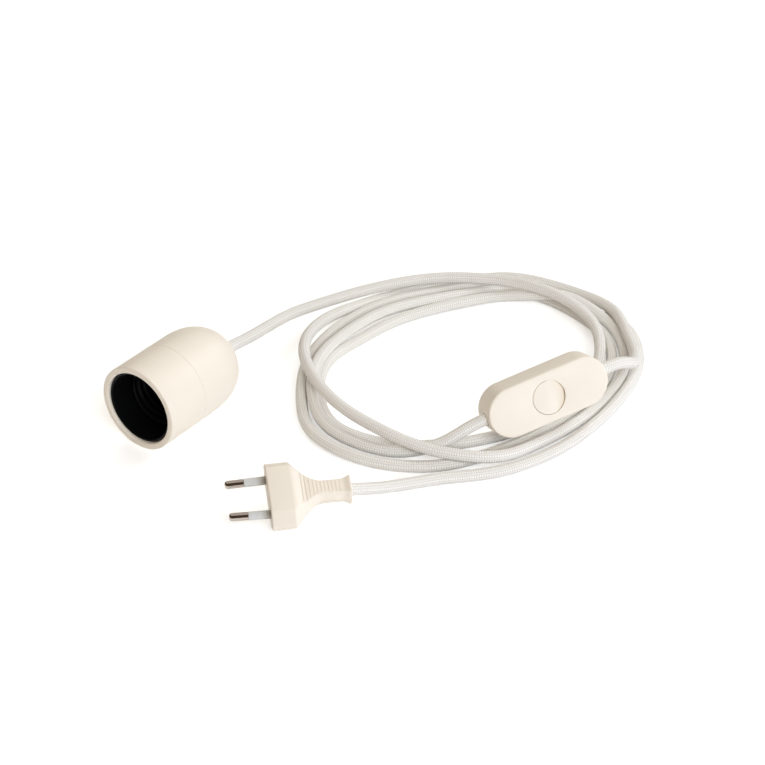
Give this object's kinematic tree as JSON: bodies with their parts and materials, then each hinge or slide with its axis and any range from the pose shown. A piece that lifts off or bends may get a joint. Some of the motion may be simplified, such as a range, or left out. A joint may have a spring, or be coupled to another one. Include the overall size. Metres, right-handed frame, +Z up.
{
  "type": "table lamp cord set",
  "caption": "Lamp holder with screw thread on a textile covered cord, with an in-line rocker switch and a flat two-pin plug.",
  "frame": {"origin": "on the floor below the middle of the lamp holder, which lies on its side", "axes": "+Y along the holder's axis from its mouth to its cord end, +Z up, +X towards the loose turns of the cord"},
  "size_m": [0.1938, 0.2672, 0.0435],
  "materials": {
    "ivory_plastic": "satin",
    "black_plastic": "satin",
    "grey_plastic": "satin",
    "brown_insulation": "satin",
    "blue_insulation": "satin",
    "brass": "satin",
    "nickel": "polished",
    "steel": "satin",
    "braid": "woven"
  },
  "bodies": {
    "cord_set": {"holder_cap": "ivory_plastic", "holder_skirt": "ivory_plastic", "holder_insert": "black_plastic", "thread_sleeve": "black_plastic", "contact_carrier": "black_plastic", "centre_contact": "brass", "side_contact": "brass", "cord_grip": "grey_plastic", "cord_grip_screw": "steel", "holder_terminal_1": "brass", "holder_terminal_2": "brass", "holder_terminal_screw_1": "steel", "holder_terminal_screw_2": "steel", "holder_core_1": "blue_insulation", "holder_core_2": "brown_insulation", "switch_housing": "ivory_plastic", "switch_back": "ivory_plastic", "live_terminal_in": "brass", "live_terminal_out": "brass", "neutral_bar": "brass", "switch_core_1": "brown_insulation", "switch_core_2": "brown_insulation", "switch_core_3": "blue_insulation", "switch_core_4": "blue_insulation", "terminal_screw_1": "steel", "terminal_screw_2": "steel", "terminal_screw_3": "steel", "terminal_screw_4": "steel", "cord_clamp_1": "steel", "cord_clamp_2": "steel", "clamp_screw_1": "steel", "clamp_screw_2": "steel", "clamp_screw_3": "steel", "clamp_screw_4": "steel", "housing_screw_1": "steel", "housing_screw_2": "steel", "plug_body": "ivory_plastic", "plug_pin_1": "nickel", "plug_pin_2": "nickel", "pin_sleeve_1": "grey_plastic", "pin_sleeve_2": "grey_plastic", "lamp_cord": "braid", "plug_cord": "braid"},
    "rocker": {"rocker": "ivory_plastic", "rocker_plunger": "steel", "plunger_spring": "steel"},
    "bridge": {"contact_bridge": "brass"}
  },
  "joints": [
    {"name": "rocker_tilt", "type": "hinge", "parent": "cord_set", "child": "rocker", "pos_m": [0.15221, 0.08859, 0.02536], "axis": [0.3923, -0.0143, -0.9197], "range_deg": [0, 14]},
    {"name": "bridge_tilt", "type": "hinge", "parent": "cord_set", "child": "bridge", "pos_m": [0.14817, 0.09133, 0.02359], "axis": [-0.3923, 0.0143, 0.9197], "range_deg": [0, 16]}
  ],
  "couplings": [
    {"joint": "bridge_tilt", "follows": "rocker_tilt", "ratio": 1.1429}
  ]
}
